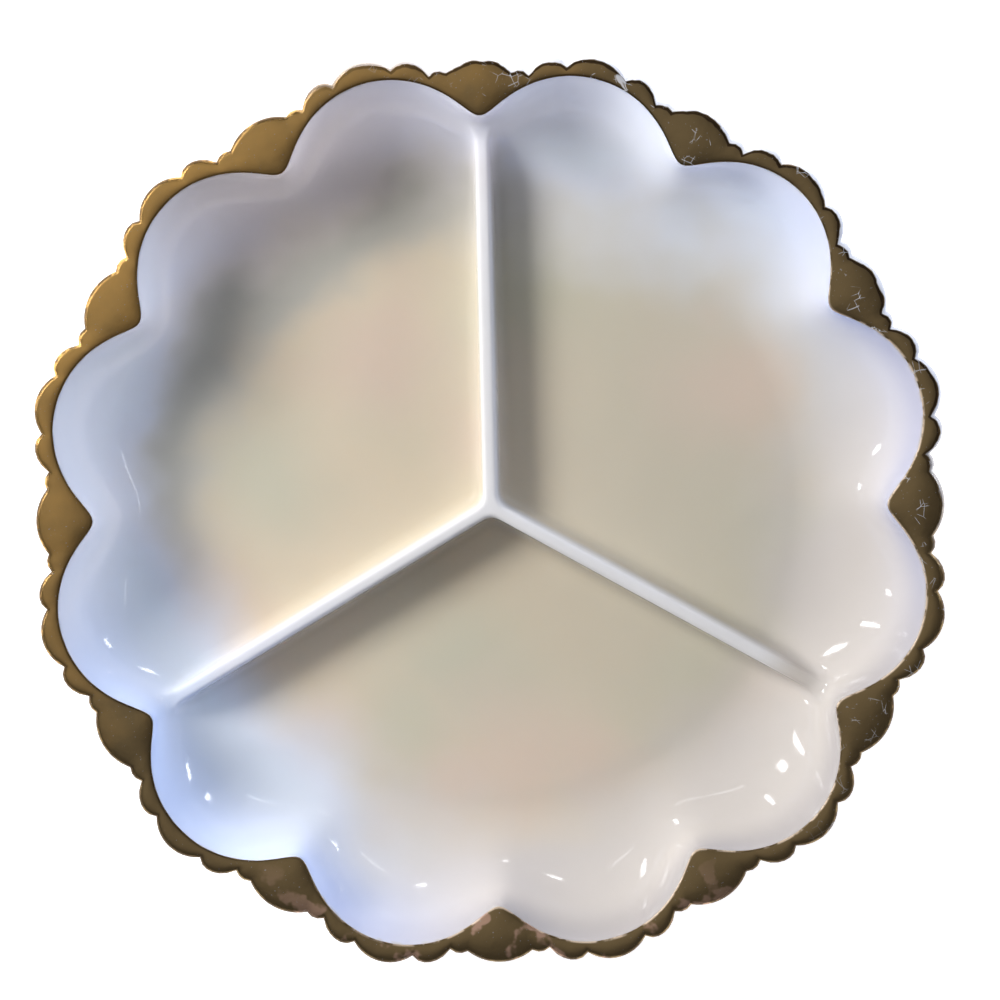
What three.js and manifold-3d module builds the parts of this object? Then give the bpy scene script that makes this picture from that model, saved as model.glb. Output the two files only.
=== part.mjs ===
// A three-part relish dish of pressed opal glass with a gilded, scalloped rim.
//
// The dish is one pressing, so it is made as it is pressed: the mould gives the outside (blank), the
// plunger gives the inside (cavity), and the three slots in the plunger leave the dividers standing.
// The gilding is a thin skin of its own that lies over the rim.
//
// Millimetres, +Z up. The origin is the centre of the foot's underside. One divider points along +Y.

import * as THREE from 'three';
import { LoftGeometry } from 'three/addons/geometries/LoftGeometry.js';
import { mergeVertices } from 'three/addons/utils/BufferGeometryUtils.js';
import Module from 'manifold-3d';

const wasm = await Module();
wasm.setup();

// ---- driving dimensions ----

const HEIGHT = 30;             // foot to the top of the gilding
const FLOOR_HEIGHT = 5;        // the floor inside the compartments
const FLOOR_RADIUS = 80;       // the flat of the floor
const LOBES = 12;
const LOBE_CENTRE = 92.25;     // each lobe of the lip is an arc about a centre at this radius
const LOBE_RADIUS = 26;
const CUSP_ROUNDING = 1.9;     // degrees over which the point between two lobes is rounded
const WALL_SWEEP = 62;         // degrees of the ellipse that the wall follows from floor to lip
const LIP_ROUNDING = 1;

const FOOT_RADIUS = 82;
const FOOT_HEIGHT = 2.5;
const FOOT_WIDTH = 3.4;
const FOOT_DRAFT = 1.2;
const RECESS_DEPTH = 1.4;
const WALL_THICKNESS = 2.6;    // radially, just under the rim
const RIM_THICKNESS = 4.2;
const EDGE_CHAMFER = 0.9;
const SHOULDER_WIDTH = 1;
const CROWN_SHARE = 0.45;      // where the rim is highest, as a share of the way from lip to edge

const DIVIDERS = 3;
const DIVIDER_TOP = 14.5;
const DIVIDER_HALF_TOP = 1.9;
const DIVIDER_HALF_FOOT = 3;
const DIVIDER_TOP_ROUNDING = 0.9;
const DIVIDER_FILLET = 2.8;
const DIVIDER_RUN = 94.4;      // length of the level top, before it sweeps up into the wall
const SWEEP_RADIUS = 8;
const HUB_GROWTH = 1;          // how far the round hub stands out past a divider's half width

const FILM_GAP = 0.3;
const FILM_THICKNESS = 0.5;
const FILM_SKIRT = 1.8;        // how far the gilding runs down the outer edge

// Half a lobe of the rim's edge, from the pearl on the cusp to the tall scallop at the lobe's middle.
// Angles are in degrees from the cusp. Each scallop is an arc that stands on the line between the
// valleys on either side of it.
const SCALLOPS = [
  { name: 'pearl', from: -4.2, to: 4.2, fromRadius: 117.8, toRadius: 117.8, rise: 2.75, steps: 4 },
  { name: 'small', from: 4.2, to: 6.5, fromRadius: 117.8, toRadius: 117.6, rise: 0.8, steps: 2 },
  { name: 'medium', from: 6.5, to: 11.2, fromRadius: 117.6, toRadius: 120.7, rise: 2.6, steps: 3 },
  { name: 'tall', from: 11.2, to: 18.8, fromRadius: 120.7, toRadius: 120.7, rise: 3.3, steps: 4 },
];

// ---- values that follow from them ----

const FILM_PROUD = FILM_GAP + FILM_THICKNESS;
const GLASS_TOP = HEIGHT - FILM_PROUD;
const LOBE_STEP = 360 / LOBES;
const HALF_LOBE = LOBE_STEP / 2;
const FIRST_CUSP = 90;
const CAVITY_STEPS = 6;        // columns in half a lobe of the cavity
const WALL_ROWS = 5;
const OPAL = 0xf1efe9;
const GOLD = 0xb08a3c;

// ---- small helpers ----

const radians = THREE.MathUtils.degToRad;
const mix = THREE.MathUtils.lerp;

function polar(radius, angle, z) {
  return new THREE.Vector3(radius * Math.cos(radians(angle)), radius * Math.sin(radians(angle)), z);
}

// A closed geometry as a solid that can be joined and cut. Only its positions count.
function solid(geometry) {
  const bare = new THREE.BufferGeometry();
  bare.setAttribute('position', geometry.attributes.position);
  bare.setIndex(geometry.index);
  const merged = mergeVertices(bare, 1e-4);
  const mesh = new wasm.Mesh({
    numProp: 3,
    vertProperties: merged.attributes.position.array,
    triVerts: new Uint32Array(merged.index.array),
  });
  return new wasm.Manifold(mesh);
}

function geometryOf(manifold) {
  const mesh = manifold.getMesh();
  const geometry = new THREE.BufferGeometry();
  geometry.setAttribute('position', new THREE.BufferAttribute(mesh.vertProperties, 3));
  geometry.setIndex(new THREE.BufferAttribute(mesh.triVerts, 1));
  geometry.computeVertexNormals();
  return geometry;
}

// ---- outlines, each a radius at an angle in degrees from the nearest cusp ----

function lipRadius(fromCusp) {
  const rounded = Math.hypot(fromCusp, CUSP_ROUNDING);
  const angle = radians(HALF_LOBE - rounded);
  return LOBE_CENTRE * Math.cos(angle) + Math.sqrt(LOBE_RADIUS ** 2 - (LOBE_CENTRE * Math.sin(angle)) ** 2);
}

function arcRise(share, rise, halfWidth) {
  const radius = (halfWidth ** 2 + rise ** 2) / (2 * rise);
  return Math.sqrt(radius ** 2 - (share * halfWidth) ** 2) - (radius - rise);
}

function edgeRadius(fromCusp) {
  const scallop = SCALLOPS.find((one) => fromCusp <= one.to + 1e-6);
  const along = (fromCusp - scallop.from) / (scallop.to - scallop.from);
  const base = mix(scallop.fromRadius, scallop.toRadius, along);
  const halfWidth = base * radians(scallop.to - scallop.from) / 2;
  return base + arcRise(2 * along - 1, scallop.rise, halfWidth);
}

// ---- columns: the angles at which an outline is sampled, over half a lobe and then all round ----

function rimColumns() {
  const half = [0];
  for (const { from, to, steps } of SCALLOPS) {
    for (let step = 1; step <= steps; step += 1) {
      half.push(mix(from, to, step / steps));
    }
  }
  return half.filter((angle) => angle >= 0 && angle <= HALF_LOBE).filter((angle, i, all) => all.indexOf(angle) === i);
}

function cavityColumns() {
  return Array.from({ length: CAVITY_STEPS + 1 }, (_, i) => HALF_LOBE * (i / CAVITY_STEPS) ** 1.6);
}

function allRound(half) {
  const lobe = [...half.slice(1, -1).reverse().map((angle) => -angle), ...half];
  const columns = [];
  for (let k = 0; k < LOBES; k += 1) {
    for (const angle of lobe) {
      columns.push({ fromCusp: Math.abs(angle), angle: FIRST_CUSP + k * LOBE_STEP + angle });
    }
  }
  return columns;
}

// A ring is one section of a loft: place(fromCusp) gives [radius, z] at each column.
function ring(columns, place) {
  return columns.map(({ fromCusp, angle }) => {
    const [radius, z] = place(fromCusp);
    return polar(radius, angle, z);
  });
}

// Rings up a wall that starts level at its foot and steepens along an ellipse.
function wallRings(columns, footRadius, footZ, topRadius, topZ) {
  const rings = [];
  for (let row = 1; row <= WALL_ROWS; row += 1) {
    const sweep = radians(WALL_SWEEP * row / WALL_ROWS);
    const out = Math.sin(sweep) / Math.sin(radians(WALL_SWEEP));
    const up = (1 - Math.cos(sweep)) / (1 - Math.cos(radians(WALL_SWEEP)));
    rings.push(ring(columns, (t) => [mix(footRadius, topRadius(t), out), mix(footZ, topZ, up)]));
  }
  return rings;
}

// ---- the glass ----

function crownRadius(fromCusp) {
  return mix(lipRadius(fromCusp), edgeRadius(fromCusp), CROWN_SHARE);
}

function blank() {
  const columns = allRound(rimColumns());
  const footTop = FOOT_RADIUS + FOOT_DRAFT;
  const underRim = GLASS_TOP - RIM_THICKNESS;
  const edge = (t) => edgeRadius(t) - FILM_PROUD;
  const rings = [
    ring(columns, () => [FOOT_RADIUS, 0]),
    ring(columns, () => [footTop, FOOT_HEIGHT]),
    ...wallRings(columns, footTop, FOOT_HEIGHT, (t) => lipRadius(t) + WALL_THICKNESS, underRim),
    ring(columns, (t) => [edge(t), underRim + EDGE_CHAMFER]),
    ring(columns, (t) => [edge(t), GLASS_TOP - 2 * EDGE_CHAMFER]),
    ring(columns, (t) => [edge(t) - SHOULDER_WIDTH, GLASS_TOP - EDGE_CHAMFER / 2]),
    ring(columns, (t) => [crownRadius(t), GLASS_TOP]),
  ];
  return solid(new LoftGeometry(rings, { capStart: true, capEnd: true }));
}

function cavity() {
  const columns = allRound(cavityColumns());
  const lipStart = GLASS_TOP - LIP_ROUNDING;
  const rings = [
    ring(columns, () => [FLOOR_RADIUS, FLOOR_HEIGHT]),
    ...wallRings(columns, FLOOR_RADIUS, FLOOR_HEIGHT, lipRadius, lipStart),
    ring(columns, (t) => [lipRadius(t) + 0.3 * LIP_ROUNDING, lipStart + 0.7 * LIP_ROUNDING]),
    ring(columns, (t) => [lipRadius(t) + LIP_ROUNDING, GLASS_TOP]),
    ring(columns, (t) => [lipRadius(t) + LIP_ROUNDING, HEIGHT + LIP_ROUNDING]),
  ];
  return solid(new LoftGeometry(rings, { capStart: true, capEnd: true }));
}

// Half a divider's section, from its foot out on the floor to its rounded top: [half width, z].
function dividerSection(top, growth = 0) {
  const points = [[DIVIDER_HALF_FOOT + DIVIDER_FILLET + growth + 0.6, FLOOR_HEIGHT - 0.6]];
  for (let step = 0; step <= 3; step += 1) {
    const turn = radians(90 * step / 3);
    const out = DIVIDER_HALF_FOOT + DIVIDER_FILLET * (1 - Math.sin(turn)) + growth;
    points.push([out, FLOOR_HEIGHT + DIVIDER_FILLET * (1 - Math.cos(turn))]);
  }
  for (let step = 0; step <= 2; step += 1) {
    const turn = radians(90 * step / 2);
    const out = DIVIDER_HALF_TOP - DIVIDER_TOP_ROUNDING * (1 - Math.cos(turn)) + growth;
    points.push([out, top - DIVIDER_TOP_ROUNDING * (1 - Math.sin(turn))]);
  }
  return points;
}

// One divider, from the hub out along +Y and up the wall. It runs on past the lip, where there is no cavity.
function divider() {
  const stations = [[0, DIVIDER_TOP]];
  for (let step = 0; step <= 4; step += 1) {
    const turn = radians(75 * step / 4);
    stations.push([DIVIDER_RUN + SWEEP_RADIUS * Math.sin(turn), DIVIDER_TOP + SWEEP_RADIUS * (1 - Math.cos(turn))]);
  }
  stations.push([DIVIDER_RUN + 2 * SWEEP_RADIUS, stations.at(-1)[1]]);
  const rings = stations.map(([run, top]) => {
    const half = dividerSection(top);
    const right = half.map(([out, z]) => new THREE.Vector3(out, run, z));
    const left = half.map(([out, z]) => new THREE.Vector3(-out, run, z)).reverse();
    return [...left, ...right];
  });
  return solid(new LoftGeometry(rings.map((one) => one.reverse()), { capStart: true, capEnd: true }));
}

function hub() {
  const profile = dividerSection(DIVIDER_TOP, HUB_GROWTH).map(([out, z]) => new THREE.Vector2(out, z));
  const closed = [new THREE.Vector2(0, FLOOR_HEIGHT - 0.6), ...profile, new THREE.Vector2(0, DIVIDER_TOP)];
  return solid(new THREE.LatheGeometry(closed, 36));
}

function dividers() {
  let made = hub();
  for (let k = 0; k < DIVIDERS; k += 1) {
    made = made.add(divider().rotate([0, 0, 360 * k / DIVIDERS]));
  }
  return made;
}

function footRecess() {
  const cut = new THREE.CylinderGeometry(FOOT_RADIUS - FOOT_WIDTH - FOOT_DRAFT, FOOT_RADIUS - FOOT_WIDTH, 2 * RECESS_DEPTH, 120);
  cut.rotateX(Math.PI / 2);
  return solid(cut);
}

function glassDish() {
  const compartments = cavity().subtract(dividers());
  const dish = blank().subtract(compartments).subtract(footRecess());
  return geometryOf(dish);
}

// ---- the gilding ----

function gildedRim() {
  const columns = allRound(rimColumns());
  const skirtBottom = GLASS_TOP - 2 * EDGE_CHAMFER - FILM_SKIRT;
  const inner = (t) => lipRadius(t) + LIP_ROUNDING / 2;
  // One face of the skin, from the lip over the crown to the foot of the skirt, set in by inset.
  const face = (inset) => [
    ring(columns, (t) => [edgeRadius(t) - inset, skirtBottom]),
    ring(columns, (t) => [edgeRadius(t) - inset, HEIGHT - 2 * EDGE_CHAMFER - inset / 2]),
    ring(columns, (t) => [edgeRadius(t) - SHOULDER_WIDTH - inset / 2, HEIGHT - EDGE_CHAMFER / 2 - inset]),
    ring(columns, (t) => [crownRadius(t), HEIGHT - inset]),
    ring(columns, (t) => [inner(t), HEIGHT - inset]),
  ];
  const outside = face(0);
  const rings = [...outside, ...face(FILM_THICKNESS).reverse(), outside[0]];
  return geometryOf(solid(new LoftGeometry(rings)));
}

// ---- the assembly ----

function piece(name, geometry, colour, roughness, metalness) {
  const mesh = new THREE.Mesh(geometry, new THREE.MeshStandardMaterial({ color: colour, roughness, metalness }));
  mesh.name = name;
  return mesh;
}

const dish = new THREE.Group();
dish.add(piece('glass_dish', glassDish(), OPAL, 0.12, 0));
dish.add(piece('gilded_rim', gildedRim(), GOLD, 0.28, 1));

export default dish;
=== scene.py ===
"""A three-part relish dish of pressed opal glass with a gilded, scalloped rim.

The glass is one pressing and the gilding is a film fired onto its rim, so there are two pieces. Sizes in
the classes of the dish are in millimetres and degrees, and those of its finishes, the lamps and the camera in
metres. Meshes are in metres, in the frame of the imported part: the origin is the centre of the foot's
underside, +Z is up, and one divider points along +Y.
"""
import logging
import math
from collections.abc import Iterator, Mapping, Sequence
from contextlib import contextmanager
from dataclasses import dataclass, field
from enum import Enum
from functools import reduce
from typing import Any

import bpy
import numpy as np
from mathutils import Matrix, Vector


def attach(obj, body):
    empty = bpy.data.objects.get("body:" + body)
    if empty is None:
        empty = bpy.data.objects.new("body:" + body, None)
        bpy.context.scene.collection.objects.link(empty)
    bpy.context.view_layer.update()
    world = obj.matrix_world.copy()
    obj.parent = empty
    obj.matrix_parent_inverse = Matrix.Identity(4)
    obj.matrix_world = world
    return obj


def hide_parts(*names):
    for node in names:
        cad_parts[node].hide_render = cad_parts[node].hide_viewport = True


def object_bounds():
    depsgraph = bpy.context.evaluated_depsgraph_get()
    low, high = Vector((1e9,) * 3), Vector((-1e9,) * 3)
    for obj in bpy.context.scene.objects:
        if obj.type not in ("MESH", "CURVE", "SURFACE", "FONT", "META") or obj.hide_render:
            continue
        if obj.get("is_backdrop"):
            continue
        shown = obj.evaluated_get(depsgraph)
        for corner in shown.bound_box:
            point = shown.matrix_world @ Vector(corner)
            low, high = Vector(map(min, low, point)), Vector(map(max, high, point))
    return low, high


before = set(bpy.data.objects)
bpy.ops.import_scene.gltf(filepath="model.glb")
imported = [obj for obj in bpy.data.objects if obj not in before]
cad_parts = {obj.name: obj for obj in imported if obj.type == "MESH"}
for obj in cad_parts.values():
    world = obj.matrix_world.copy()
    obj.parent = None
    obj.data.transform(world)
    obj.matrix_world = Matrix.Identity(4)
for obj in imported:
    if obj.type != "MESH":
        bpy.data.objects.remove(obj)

LOG = logging.getLogger("relish_dish")
MM = 0.001
WELD = 1e-6
FULL_TURN = 360
HALVINGS = 40
ROUNDS = 12
ANGLE_SLACK = 0.01
BLACK = (0.0, 0.0, 0.0)
MIX_FACTOR, MIX_FIRST, MIX_SECOND, MIX_RESULT = 0, 6, 7, 2
Array = np.ndarray
Triple = tuple[float, float, float]
Colour = Triple
Span = tuple[float, float]


class Half(Enum):
    """Which half of a sector a mesh covers."""

    AT_FIRST_DIVIDER = "first"
    AT_NEXT_DIVIDER = "next"


class Place(Enum):
    """What a pattern lies on: an object's own mesh, or the directions of the sky."""

    MESH = "Object"
    SKY = "Generated"


# ---- outlines ----------------------------------------------------------------------------------


@dataclass(frozen=True)
class Scallop:
    """One scallop of the rim's edge: an arc that stands on the line between two valleys."""

    start: float
    end: float
    start_radius: float
    end_radius: float
    rise: float
    columns: int

    def radius(self, from_cusp: Array) -> Array:
        """Gives the edge's radius over this scallop.

        Args:
            from_cusp: degrees from the nearest cusp.

        Returns:
            Radii in millimetres.
        """
        along = (from_cusp - self.start) / (self.end - self.start)
        base = self.start_radius + (self.end_radius - self.start_radius) * along
        half = base * math.radians(self.end - self.start) / 2
        bend = (half**2 + self.rise**2) / (2 * self.rise)
        reach = np.clip((2 * along - 1) * half, -half, half)
        return base + np.sqrt(bend**2 - reach**2) - (bend - self.rise)


@dataclass(frozen=True)
class Outline:
    """The plan of the dish: a lip of twelve lobes and, round it, a scalloped edge."""

    lobes: int = 12
    lobe_centre: float = 92.25
    lobe_radius: float = 26.0
    cusp_rounding: float = 1.9
    ridge_rounding: float = 5.5
    first_cusp: float = 90.0
    scallops: tuple[Scallop, ...] = (
        Scallop(-4.2, 4.2, 117.8, 117.8, 2.75, 7),
        Scallop(4.2, 6.5, 117.8, 117.6, 0.8, 3),
        Scallop(6.5, 11.2, 117.6, 120.7, 2.6, 6),
        Scallop(11.2, 18.8, 120.7, 120.7, 3.3, 12),
    )

    def from_cusp(self, angle: Array) -> Array:
        """Gives the degrees from each direction to the nearest cusp."""
        step = FULL_TURN / self.lobes
        return np.abs((angle - self.first_cusp + step / 2) % step - step / 2)

    def lip(self, angle: Array, rounding: Array | float | None = None) -> Array:
        """Gives the lip's radius.

        Args:
            angle: directions in degrees.
            rounding: degrees over which the point between two lobes is rounded, where it isn't the lip's own.

        Returns:
            Radii in millimetres.
        """
        blunt = self.cusp_rounding if rounding is None else rounding
        turn = np.radians(180 / self.lobes - np.hypot(self.from_cusp(angle), blunt))
        across = self.lobe_centre * np.sin(turn)
        return self.lobe_centre * np.cos(turn) + np.sqrt(self.lobe_radius**2 - across**2)

    def ridged_lip(self, angle: Array, up: Array | float) -> Array:
        """Gives the lip's radius, with its cusps as blunt as the wall's ridges are at some height.

        Args:
            angle: directions in degrees.
            up: share of the wall's height, from 0 at the floor to 1 at the lip.

        Returns:
            Radii in millimetres.
        """
        rounding = self.ridge_rounding + (self.cusp_rounding - self.ridge_rounding) * up
        return self.lip(angle, rounding)

    def edge(self, angle: Array) -> Array:
        """Gives the radius of the scalloped edge.

        Args:
            angle: directions in degrees.

        Returns:
            Radii in millimetres.
        """
        away = self.from_cusp(angle)
        radii = np.zeros_like(away)
        for scallop in self.scallops:
            inside = (away >= scallop.start) & (away <= scallop.end)
            radii = np.where(inside, scallop.radius(away), radii)
        return radii


# ---- the inside of the dish --------------------------------------------------------------------


def soft_least(first: Array, second: Array, blend: float) -> Array:
    """Gives the lesser of two distances, rounded where they are nearly equal.

    Args:
        first: distances to one surface.
        second: distances to the other.
        blend: how far from the corner the rounding starts.

    Returns:
        The joined distance.
    """
    share = np.maximum(blend - np.abs(first - second), 0) / blend
    return np.minimum(first, second) - share**2 * blend / 4


@dataclass(frozen=True)
class Dividers:
    """Three dividers that meet in a small hub and run out into the ridges of the wall."""

    count: int = 3
    top: float = 14.5
    half_top: float = 1.75
    half_foot: float = 2.9
    edge_rounding: float = 1.2
    fillet: float = 3.4
    hub_fillet: float = 2.6
    lines: tuple[float, ...] = (
        0.0, 0.45, 0.85, 1.17, 1.45, 1.65, 1.82, 2.1, 2.4, 2.65, 2.9, 3.3, 3.85, 4.7, 5.9, 7.73,
    )

    def mirrored(self, x: Array, y: Array) -> tuple[Array, Array]:
        """Gives places in a sector mirrored about its middle, so that the two dividers change places."""
        turn = 2 * math.pi / self.count
        return x * math.cos(turn) + y * math.sin(turn), x * math.sin(turn) - y * math.cos(turn)

    def sideways(self, x: Array, y: Array) -> Array:
        """Gives the distance in plan from the dividers' centre lines.

        Args:
            x: places along a divider, in a sector that starts at that divider and turns to the next.
            y: places across it.

        Returns:
            Distances, rounded where two dividers meet.
        """
        along, across = self.mirrored(x, y)
        radius = np.hypot(x, y)
        near = np.where(x > 0, np.abs(y), radius)
        next_one = np.where(along > 0, np.abs(across), radius)
        return soft_least(near, next_one, self.hub_fillet)

    def height(self, x: Array, y: Array, base: Array, steepness: Array, foot: float) -> Array:
        """Gives the height of the surface where the dividers and the bowl run into each other.

        Args:
            x: places along a divider.
            y: places across it.
            base: the bowl's own height there.
            steepness: the bowl's rise over run there.
            foot: the floor's height.

        Returns:
            Heights in millimetres.
        """
        side = self.sideways(x, y)
        draft = (self.half_foot - self.half_top) / (self.top - foot)
        upright = 1 / math.hypot(1, draft)
        level = 1 / np.hypot(1, steepness)
        low = base - 1
        high = np.maximum(base, self.top) + self.fillet
        for _ in range(HALVINGS):
            z = (low + high) / 2
            flank = (side - self.half_top - (self.top - z) * draft) * upright
            bar = -soft_least(-flank, self.top - z, self.edge_rounding)
            inside = soft_least(bar, (z - base) * level, self.fillet) < 0
            low = np.where(inside, z, low)
            high = np.where(inside, high, z)
        return (low + high) / 2


@dataclass(frozen=True)
class Bowl:
    """The inside of the dish: a flat floor and a wall that follows an ellipse up to the lip."""

    outline: Outline = field(default_factory=Outline)
    dividers: Dividers = field(default_factory=Dividers)
    floor_height: float = 5.0
    floor_radius: float = 80.0
    lip_height: float = 28.7
    sweep: float = 62.0
    wall_rows: int = 46

    def lip_columns(self) -> Array:
        """Gives the lip's columns over half a sector, in degrees from the divider.

        Returns:
            Angles from 0 to 60: first those of the lines that run beside the divider, then evenly over each
            scallop.
        """
        lip_radius = float(self.outline.lip(np.array([self.outline.first_cusp]))[0])
        angles = list(np.degrees(np.arcsin(np.array(self.dividers.lines) / lip_radius)))
        half_lobe: list[float] = []
        for scallop in self.outline.scallops[1:-1]:
            half_lobe += list(np.linspace(scallop.start, scallop.end, scallop.columns + 1)[1:])
        tall = self.outline.scallops[-1]
        lobe = FULL_TURN / self.outline.lobes
        half_lobe += list(np.linspace(tall.start, lobe / 2, tall.columns // 2 + 1)[1:])
        pearl = self.outline.scallops[0]
        pearl_half = list(np.linspace(0, pearl.end, pearl.columns + 1))
        back = [lobe - a for a in reversed(half_lobe[:-1])]
        next_pearl = [lobe - a for a in reversed(pearl_half)]
        angles += half_lobe + back + next_pearl
        angles += [lobe + a for a in pearl_half[1:] + half_lobe + back + next_pearl]
        return np.array(angles)

    def all_columns(self) -> Array:
        """Gives the columns all round.

        Returns:
            Angles in degrees, from the first divider on.
        """
        half = self.lip_columns()
        sector = FULL_TURN / self.dividers.count
        one = np.concatenate([half, sector - half[::-1][1:]])[:-1]
        starts = [self.outline.first_cusp + sector * k for k in range(self.dividers.count)]
        return np.concatenate([start + one for start in starts])

    def column_angles(self, beside: Array) -> Array:
        """Gives each column's angle from the divider, on rings inside the lip.

        Args:
            beside: for each ring, the angle in degrees of the outermost line that runs beside the divider.

        Returns:
            Angles in degrees, a row for each ring and a column for each of the columns past that line.
        """
        lip = self.lip_columns()
        count = len(self.dividers.lines)
        start = lip[count - 1]
        middle = FULL_TURN / self.outline.lobes / 2
        fade = np.clip(1 - (lip[count - 1 :] - start) / (middle - start), 0, 1)
        return lip[count - 1 :] + (beside[:, None] - start) * fade

    def wall(self, angle: Array, share: Array) -> tuple[Array, Array, Array]:
        """Gives the wall's surface without the dividers.

        Args:
            angle: directions in degrees.
            share: share of the wall's sweep, from 0 at the floor to 1 at the lip.

        Returns:
            Radius, height and steepness.
        """
        turn = np.radians(self.sweep * share)
        full = math.radians(self.sweep)
        up = (1 - np.cos(turn)) / (1 - math.cos(full))
        reach = self.outline.ridged_lip(angle, up) - self.floor_radius
        rise = self.lip_height - self.floor_height
        radius = self.floor_radius + reach * np.sin(turn) / math.sin(full)
        height = self.floor_height + rise * up
        upward = rise * np.sin(turn) / (1 - math.cos(full))
        outward = reach * np.cos(turn) / math.sin(full)
        return radius, height, upward / outward

    def grid_points(self) -> tuple[Array, int]:
        """Gives the points of the floor over one sector, on a square grid.

        A point's lesser index counts the lines beside the nearer divider, and its greater index the rings.

        Returns:
            An array of x and y by the two indices, and the last index.
        """
        lines = np.array(self.dividers.lines)
        hub = len(lines) - 1
        last = len(self.lip_columns()) - 1
        corner = math.sin(math.pi / self.dividers.count)
        beyond = np.linspace(lines[-1] / corner, self.floor_radius, last - hub + 1)
        rings = np.concatenate([lines / corner, beyond[1:]])
        outer = self.column_angles(np.degrees(np.arcsin(lines[-1] / rings[-1:])))[0]
        half_sector = FULL_TURN / self.dividers.count / 2
        spread = (outer - outer[0]) / (half_sector - outer[0])
        points = np.zeros((last + 1, last + 1, 2))
        for ring, radius in enumerate(rings):
            if ring <= hub:
                across = lines[: ring + 1]
                along = (lines[ring] - across * math.cos(math.pi / self.dividers.count)) / corner
            else:
                beside = np.degrees(np.arcsin(lines / radius))
                even = np.linspace(0, 1, ring - hub + 1)
                share = np.interp(even, np.linspace(0, 1, len(spread)), spread)
                rest = beside[-1] + share * (half_sector - beside[-1])
                angle = np.radians(np.concatenate([beside, rest[1:]]))
                along, across = radius * np.cos(angle), radius * np.sin(angle)
            points[: ring + 1, ring, 0] = along
            points[: ring + 1, ring, 1] = across
        lesser, greater = np.triu_indices(last + 1, 1)
        x, y = points[lesser, greater].T
        points[greater, lesser] = np.column_stack(self.dividers.mirrored(x, y))
        return points, last

    def wall_points(self) -> Array:
        """Gives the points of the wall over half a sector.

        Returns:
            An array of x, y, z by row and column, in millimetres, from the divider's centre line on.
        """
        lines = np.array(self.dividers.lines)
        first = self.outline.first_cusp
        rows = []
        for share in np.linspace(0, 1, self.wall_rows + 1):
            angle = np.degrees(np.arcsin(lines / self.floor_radius))
            for _ in range(ROUNDS):
                radius = self.wall(angle + first, np.full_like(angle, share))[0]
                angle = np.degrees(np.arcsin(lines / radius))
            full = np.concatenate([angle, self.column_angles(angle[-1:])[0][1:]])
            radius, height, steepness = self.wall(full + first, np.full_like(full, share))
            x, y = radius * np.cos(np.radians(full)), radius * np.sin(np.radians(full))
            z = self.dividers.height(x, y, height, steepness, self.floor_height)
            rows.append(np.stack([x, y, z], axis=1))
        return np.array(rows)

    def floor_height_at(self, x: Array, y: Array) -> Array:
        """Gives the surface's height inside the wall, dividers and all.

        Args:
            x: places along a divider, in a sector that starts at that divider.
            y: places across it.

        Returns:
            Heights in millimetres.
        """
        far = np.arctan2(y, x) > math.pi / self.dividers.count
        mirrored = self.dividers.mirrored(x, y)
        along = np.where(far, mirrored[0], x)
        across = np.where(far, mirrored[1], y)
        level = np.full_like(x, self.floor_height)
        return self.dividers.height(along, across, level, np.zeros_like(x), self.floor_height)


# ---- the rim and the outside -------------------------------------------------------------------


Ring = tuple[Array, Array]


@dataclass(frozen=True)
class Rim:
    """The rim's section, from the lip over the face and round the rolled edge to its underside."""

    bowl: Bowl = field(default_factory=Bowl)
    film: float = 0.06
    lip_rounding: float = 0.95
    face_slope: float = 12.0
    swell: float = 0.05
    edge_rounding: float = 1.6
    face_edge_height: float = 29.15
    under_rounding: float = 1.2
    under_height: float = 25.2
    under_slopes: tuple[float, ...] = (-90.0, -115.0, -140.0, -165.0)
    lip_rows: int = 5
    face_rows: int = 8
    edge_rows: int = 6

    def _arc(self, radius: Array, height: Array, bend: float, slopes: Sequence[Array | float]) -> list[Ring]:
        """Gives rings round an arc whose centre is at a radius and height, one for each slope in degrees."""
        turns = [np.radians(slope) for slope in slopes]
        return [(radius - bend * np.sin(turn), height + bend * np.cos(turn)) for turn in turns]

    def lip(self, angle: Array, shares: list[Array | float] | None = None) -> list[Ring]:
        """Gives rings round the lip's corner.

        Args:
            angle: the columns' directions.
            shares: how far round the corner each ring lies. Left out, rings run evenly from the first
                past the wall to the last on the face.

        Returns:
            Rings of radius and height.
        """
        ones = np.ones_like(angle)
        radius, height, steepness = self.bowl.wall(angle, ones)
        start = np.degrees(np.arctan(steepness))
        turn = np.radians(start)
        centre = radius + self.lip_rounding * np.sin(turn)
        middle = height - self.lip_rounding * np.cos(turn)
        steps = shares or [k / self.lip_rows for k in range(1, self.lip_rows + 1)]
        slopes = [start + (self.face_slope - start) * share for share in steps]
        return self._arc(centre, middle, self.lip_rounding, slopes)

    def face_and_edge(self, angle: Array) -> list[Ring]:
        """Gives rings over the swelling face, round the rolled edge and down to where the rim turns under.

        Args:
            angle: the columns' directions.

        Returns:
            Rings of radius and height.
        """
        inner_radius, inner_height = self.lip(angle)[-1]
        edge = self.bowl.outline.edge(angle) - self.film
        drop = self.edge_rounding * math.cos(math.radians(self.face_slope))
        centre = self.face_edge_height - drop
        rest = 90 - self.face_slope
        slopes = [-self.face_slope - rest * k / self.edge_rows for k in range(self.edge_rows + 1)]
        roll = self._arc(edge - self.edge_rounding, np.full_like(edge, centre), self.edge_rounding, slopes)
        outer_radius, outer_height = roll[0]
        width = outer_radius - inner_radius
        face = []
        for k in range(1, self.face_rows):
            share = k / self.face_rows
            level = inner_height + (outer_height - inner_height) * share
            bulge = 4 * share * (1 - share)
            face.append((inner_radius + width * share, level + self.swell * width * bulge))
        low = np.full_like(edge, self.under_height + self.under_rounding)
        under = self._arc(edge - self.under_rounding, low, self.under_rounding, self.under_slopes)
        return face + roll + under


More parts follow.
